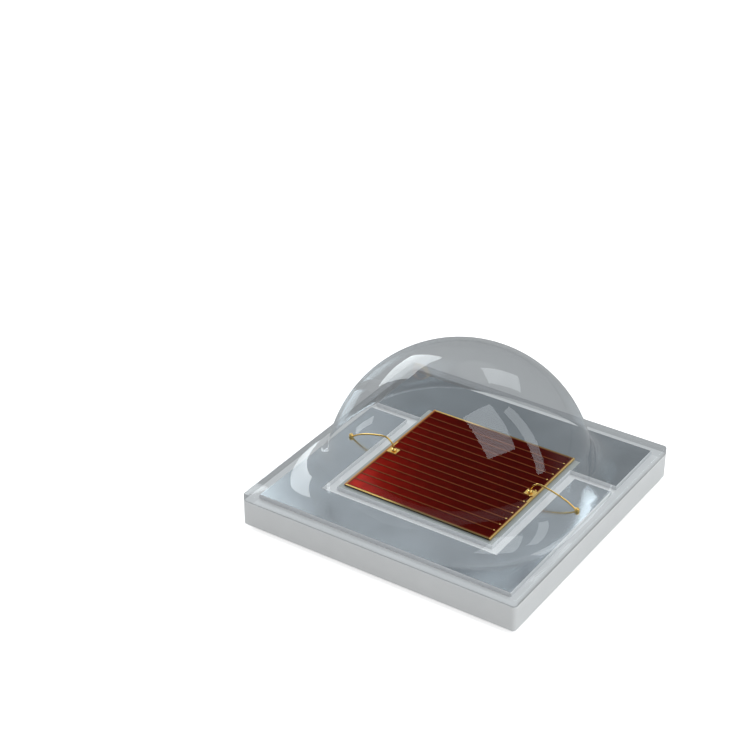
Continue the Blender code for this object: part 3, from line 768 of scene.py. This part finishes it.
def lens_grid(settings):
    """Rings of points over the lens, from its top down to its hidden bottom.

    Dome: points at the dome's radius from its centre, at an angle that falls from upright to where
    the fillet begins. Fillet: a hollow arc round a centre outside the dome, down to the layer. Its
    foot reaches further out towards the corners by the square of the sine of twice the turn, and
    its radius follows from touching the layer at the foot and the same dome all round:
    (dome + arc)^2 = foot^2 + (centre's drop + arc)^2. Layer: straight from the foot out to the
    rounded square, a quarter round over its edge, down its side, and in under the ceramic's face.
    """
    top = PLATE_HIGH[2] + settings.layer_thickness
    drop = settings.centre_drop
    centre = top - drop
    dome = math.hypot(settings.foot_radius, drop + settings.fillet_radius) - settings.fillet_radius

    count = 4 * (CORNER_STEPS + SIDE_STEPS)
    turn = math.pi / 4 + (np.arange(count) - CORNER_STEPS / 2) * math.tau / count
    foot = settings.foot_radius + settings.corner_reach * np.sin(2 * turn) ** 2
    arc = (foot**2 / (dome - drop) - dome - drop) / 2
    meeting = np.arctan2(drop + arc, foot)

    share = np.linspace(0.0, 1.0, settings.dome_rings + 1)[1:, None]
    fall = math.pi / 2 + share * (meeting - math.pi / 2)
    share = np.linspace(0.0, 1.0, FILLET_RINGS + 1)[1:, None]
    sweep = meeting + math.pi + share * (math.pi / 2 - meeting)
    radii = np.concatenate([dome * np.cos(fall), foot + arc * np.cos(sweep)])
    heights = np.concatenate([centre + dome * np.sin(fall), top + arc + arc * np.sin(sweep)])
    round_rings = np.stack([radii * np.cos(turn), radii * np.sin(turn), heights], axis=-1)

    edge = settings.layer_edge
    over = np.linspace(0.0, math.pi / 2, EDGE_STEPS)
    face = PLATE_HIGH[2]
    insets = [FLAT_INSET * edge, *(edge * (1.0 - np.sin(over))), 0.0, BOTTOM_INSET * edge]
    levels = [top, *(top - edge * (1.0 - np.cos(over)))]
    levels += [face + SIDE_ABOVE * edge, face - BOTTOM_BELOW * edge]
    square_rings = []
    for inset, level in zip(insets, levels):
        corner = settings.corner_radius - min(inset, edge)
        outline = rounded_square(LENS_HIGH[0] - inset, corner, CORNER_STEPS, SIDE_STEPS)
        square_rings.append(np.column_stack([outline, np.full(count, level)]))
    return np.concatenate([round_rings, np.array(square_rings)]), centre + dome


def closed_surface(name, rings, top, bottom):
    """A closed mesh over rings of points, with a pole above the first and one below the last."""
    rows, count = rings.shape[:2]
    index = np.arange(rows * count).reshape(rows, count)
    beside = np.roll(index, -1, axis=1)
    walls = np.stack([index[:-1], index[1:], beside[1:], beside[:-1]], axis=-1).reshape(-1, 4)
    crown = np.stack([np.full(count, rows * count), index[0], beside[0]], axis=-1)
    floor = np.stack([np.full(count, rows * count + 1), beside[-1], index[-1]], axis=-1)
    points = np.concatenate([rings.reshape(-1, 3), [top, bottom]])
    corners = np.concatenate([walls.ravel(), crown.ravel(), floor.ravel()]).astype(np.int32)
    sizes = np.concatenate([np.full(len(walls), 4), np.full(2 * count, 3)])
    starts = np.concatenate([[0], np.cumsum(sizes)[:-1]]).astype(np.int32)
    mesh = bpy.data.meshes.new(name)
    mesh.vertices.add(len(points))
    mesh.vertices.foreach_set("co", points.astype(np.float32).ravel())
    mesh.loops.add(corners.size)
    mesh.loops.foreach_set("vertex_index", corners)
    mesh.polygons.add(sizes.size)
    mesh.polygons.foreach_set("loop_start", starts)
    mesh.update(calc_edges=True)
    mesh.shade_smooth()
    piece = bpy.data.objects.new(name, mesh)
    bpy.context.scene.collection.objects.link(piece)
    return piece


def silicone_finish(settings):
    """Clear silicone: what lies under it is seen straight through, and its skin mirrors more the
    flatter it is looked at. The share is the head on one plus the rest times the fifth power of
    one less the cosine of the angle. Light that has been through the dome and enters the layer
    behind it loses more, as most of it is turned back inside real silicone.
    """
    material, shader, add, join = new_material("clear_silicone")
    facing = add("LayerWeight", {"Blend": 0.5}).outputs["Facing"]
    share = ranged(add, calc(add, "POWER", facing, 5.0), settings.head_on_shine, 1.0)
    depth = add("LightPath").outputs["Transparent Depth"]
    crossed = calc(add, "GREATER_THAN", depth, PAST_ONE_SURFACE)
    leaving = add("NewGeometry").outputs["Backfacing"]
    again = calc(add, "SUBTRACT", crossed, leaving, use_clamp=True)
    dimmed = settings.far_side * np.array(settings.tint)
    let_through = picked(add, again, rgba(settings.tint), rgba(dimmed))
    clear = add("BsdfTransparent", {"Color": let_through}).outputs["BSDF"]
    shader.inputs["Base Color"].default_value = (1.0, 1.0, 1.0, 1.0)
    shader.inputs["Metallic"].default_value = 1.0
    shader.inputs["Roughness"].default_value = settings.skin_roughness
    skin = add("MixShader", {0: share, 1: clear, 2: shader.outputs["BSDF"]})
    output = material.node_tree.nodes["Material Output"]
    join(output.inputs["Surface"], skin.outputs["Shader"])
    return material


class LED_OT_lens(bpy.types.Operator):
    """Makes the silicone lens, with its dome, fillet and square layer"""

    bl_idname = "led.lens"
    bl_label = "Silicone lens"

    def execute(self, context):
        settings = context.scene.led_lens
        rings, crown = lens_grid(settings)
        bottom = float(rings[-1, 0, 2])
        piece = closed_surface("clear_dome_lens", rings, (0.0, 0.0, crown), (0.0, 0.0, bottom))
        piece.data.materials.append(silicone_finish(settings))
        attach(piece, "root")
        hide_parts("silicone_lens")
        return {"FINISHED"}


def direction(azimuth, elevation):
    """A unit vector at an azimuth from -Y towards +X and an elevation, in degrees."""
    turn, rise = math.radians(azimuth), math.radians(elevation)
    level = math.cos(rise)
    return np.array([math.sin(turn) * level, -math.cos(turn) * level, math.sin(rise)])


def add_softbox(name, corners, brightness, stage):
    """A rectangular lamp that fills the directions between four corners, seen from the dome.

    The corners are azimuth and elevation pairs. They are drawn on the plane square to their mean
    direction, and the lamp's sides are the means of opposite sides there.
    """
    rays = np.array([direction(*corner) for corner in corners])
    middle = rays.mean(axis=0)
    middle /= np.linalg.norm(middle)
    spots = rays / (rays @ middle)[:, None] * stage.lamp_distance
    across = (spots[1] - spots[0] + spots[2] - spots[3]) / 2
    upward = (spots[3] - spots[0] + spots[2] - spots[1]) / 2
    width, height = np.linalg.norm(across), np.linalg.norm(upward)
    x_axis = across / width
    y_axis = upward - (upward @ x_axis) * x_axis
    y_axis /= np.linalg.norm(y_axis)
    z_axis = np.cross(x_axis, y_axis)
    if z_axis @ middle < 0.0:
        x_axis, z_axis = -x_axis, -z_axis
    lamp = bpy.data.lights.new(name, "AREA")
    lamp.shape = "RECTANGLE"
    lamp.size, lamp.size_y = float(width), float(height)
    lamp.energy = brightness * math.pi * width * height
    lamp.color = stage.lamp_colour
    piece = bpy.data.objects.new(name, lamp)
    turn = Matrix(np.column_stack([x_axis, y_axis, z_axis]).tolist()).to_4x4()
    place = spots.mean(axis=0) + (0.0, 0.0, stage.aim_height)
    piece.matrix_world = Matrix.Translation(place.tolist()) @ turn
    piece.visible_camera = False
    bpy.context.scene.collection.objects.link(piece)


def floor_finish(stage):
    """A pale floor. Seen direct, it is lifted to white, apart from the object's shadow. In metal
    and through the clear lens, it shows as the grey of a studio backdrop. From below it is clear,
    so that the solder pads can be looked at, and so it is for light that goes on from a pad after
    it has come up through the floor.
    """
    material, shader, add, join = new_material("pale_floor")
    path = add("LightPath").outputs
    through = calc(add, "MINIMUM", path["Transparent Depth"], 1.0)
    mirrored = calc(add, "MAXIMUM", path["Is Glossy Ray"], path["Is Transmission Ray"])
    grey = calc(add, "MAXIMUM", through, mirrored)
    bare = calc(add, "SUBTRACT", path["Is Camera Ray"], grey)
    shader.inputs["Roughness"].default_value = 1.0
    shader.inputs["Specular IOR Level"].default_value = 0.0
    join(shader.inputs["Base Color"], ranged(add, grey, stage.floor_tone, stage.floor_grey))
    shader.inputs["Emission Color"].default_value = (1.0, 1.0, 1.0, 1.0)
    lift = calc(add, "MULTIPLY", bare, stage.floor_lift, use_clamp=True)
    join(shader.inputs["Emission Strength"], lift)
    onward = calc(add, "SUBTRACT", through, path["Is Camera Ray"])
    clear = calc(add, "MAXIMUM", add("NewGeometry").outputs["Backfacing"], onward)
    nothing = add("BsdfTransparent").outputs["BSDF"]
    skin = add("MixShader", {0: clear, 1: shader.outputs["BSDF"], 2: nothing})
    output = material.node_tree.nodes["Material Output"]
    join(output.inputs["Surface"], skin.outputs["Shader"])
    return material


def studio_world(stage):
    """Even pale light. Seen direct, the backdrop is white. Through the clear lens it is grey, and
    so it is in metal and in the lens's skin, where it is dark on the camera's side and has soft
    glows at the back. A glow is the smooth step of how near a direction is to the glow's middle,
    as the cosine of the angle between them.
    """
    world = bpy.data.worlds.new("soft_studio")
    world.use_nodes = True
    back = world.node_tree.nodes["Background"]
    add, join = node_adder(world.node_tree)
    place, path = add("TexCoord").outputs["Generated"], add("LightPath").outputs

    def nearness(azimuth, elevation):
        middle = tuple(direction(azimuth, elevation))
        return add("VectorMath", {0: place, 1: middle}, operation="DOT_PRODUCT").outputs["Value"]

    through = calc(add, "MINIMUM", path["Transparent Depth"], 1.0)
    dark = ranged(add, through, stage.camera_side_grey, stage.camera_side_in_metal)
    level = ranged(add, nearness(*CAMERA_SIDE), stage.backdrop_grey, dark, *CAMERA_SIDE_SPAN,
                   interpolation_type="SMOOTHSTEP")
    for azimuth, elevation, reach, core, strength in GLOWS:
        outer, inner = math.cos(math.radians(reach)), math.cos(math.radians(core))
        glow = ranged(add, nearness(azimuth, elevation), 0.0, strength, outer, inner,
                      interpolation_type="SMOOTHSTEP")
        level = calc(add, "ADD", level, glow)
    mirrored = between(add, path["Is Glossy Ray"], stage.ambient, level)
    seen = ranged(add, through, 1.0, stage.backdrop_grey)
    join(back.inputs["Strength"], between(add, path["Is Camera Ray"], mirrored, seen))
    back.inputs["Color"].default_value = rgba(stage.backdrop_tint)
    return world


class LED_OT_stage(bpy.types.Operator):
    """Makes the floor, the soft lights and the camera"""

    bl_idname = "led.stage"
    bl_label = "Stage"

    def execute(self, context):
        stage = context.scene.led_stage
        half, low = stage.floor_side / 2, -stage.floor_drop
        mesh = bpy.data.meshes.new("floor")
        corners = [(-half, -half, low), (half, -half, low), (half, half, low), (-half, half, low)]
        mesh.from_pydata(corners, [], [(0, 1, 2, 3)])
        mesh.materials.append(floor_finish(stage))
        floor = bpy.data.objects.new("floor", mesh)
        context.scene.collection.objects.link(floor)

        for name, (corners, brightness) in SOFTBOXES.items():
            add_softbox(name, corners, brightness, stage)
        context.scene.world = studio_world(stage)

        turn, rise = stage.camera_azimuth, stage.camera_elevation
        right = np.array([math.cos(turn), math.sin(turn), 0.0])
        back = direction(math.degrees(turn), math.degrees(rise))
        camera = bpy.data.objects.new("camera", bpy.data.cameras.new("camera"))
        camera.data.sensor_width = 36.0
        camera.data.lens = stage.camera_lens
        camera.data.clip_start = 1.0 * MM
        camera.data.clip_end = 10000.0 * MM
        camera.matrix_world = (
            Matrix.Translation(stage.camera_place)
            @ Matrix(np.column_stack([right, np.cross(back, right), back]).tolist()).to_4x4()
        )
        context.scene.collection.objects.link(camera)
        context.scene.camera = camera
        context.scene.view_settings.view_transform = "Standard"
        return {"FINISHED"}


OPERATORS = (LED_OT_ceramic, LED_OT_metal, LED_OT_chip, LED_OT_gold, LED_OT_lens, LED_OT_stage)


class LED_PT_looks(bpy.types.Panel):
    """Lists the steps that dress the LED"""

    bl_idname = "LED_PT_looks"
    bl_label = "LED looks"
    bl_space_type = "VIEW_3D"
    bl_region_type = "UI"
    bl_category = "LED"

    def draw(self, context):
        for operator in OPERATORS:
            self.layout.operator(operator.bl_idname)


SETTINGS = {
    "led_ceramic": CeramicSettings,
    "led_metal": MetalSettings,
    "led_chip": ChipSettings,
    "led_gold": GoldSettings,
    "led_lens": LensSettings,
    "led_stage": StageSettings,
}


def register():
    for kind in (*SETTINGS.values(), *OPERATORS, LED_PT_looks):
        bpy.utils.register_class(kind)
    for name, kind in SETTINGS.items():
        setattr(bpy.types.Scene, name, PointerProperty(type=kind))


def unregister():
    for name in SETTINGS:
        delattr(bpy.types.Scene, name)
    for kind in reversed((*SETTINGS.values(), *OPERATORS, LED_PT_looks)):
        bpy.utils.unregister_class(kind)


def main():
    register()
    bpy.ops.led.ceramic()
    bpy.ops.led.metal()
    bpy.ops.led.chip()
    bpy.ops.led.gold()
    bpy.ops.led.lens()
    bpy.ops.led.stage()


if __name__ == "__main__":
    main()
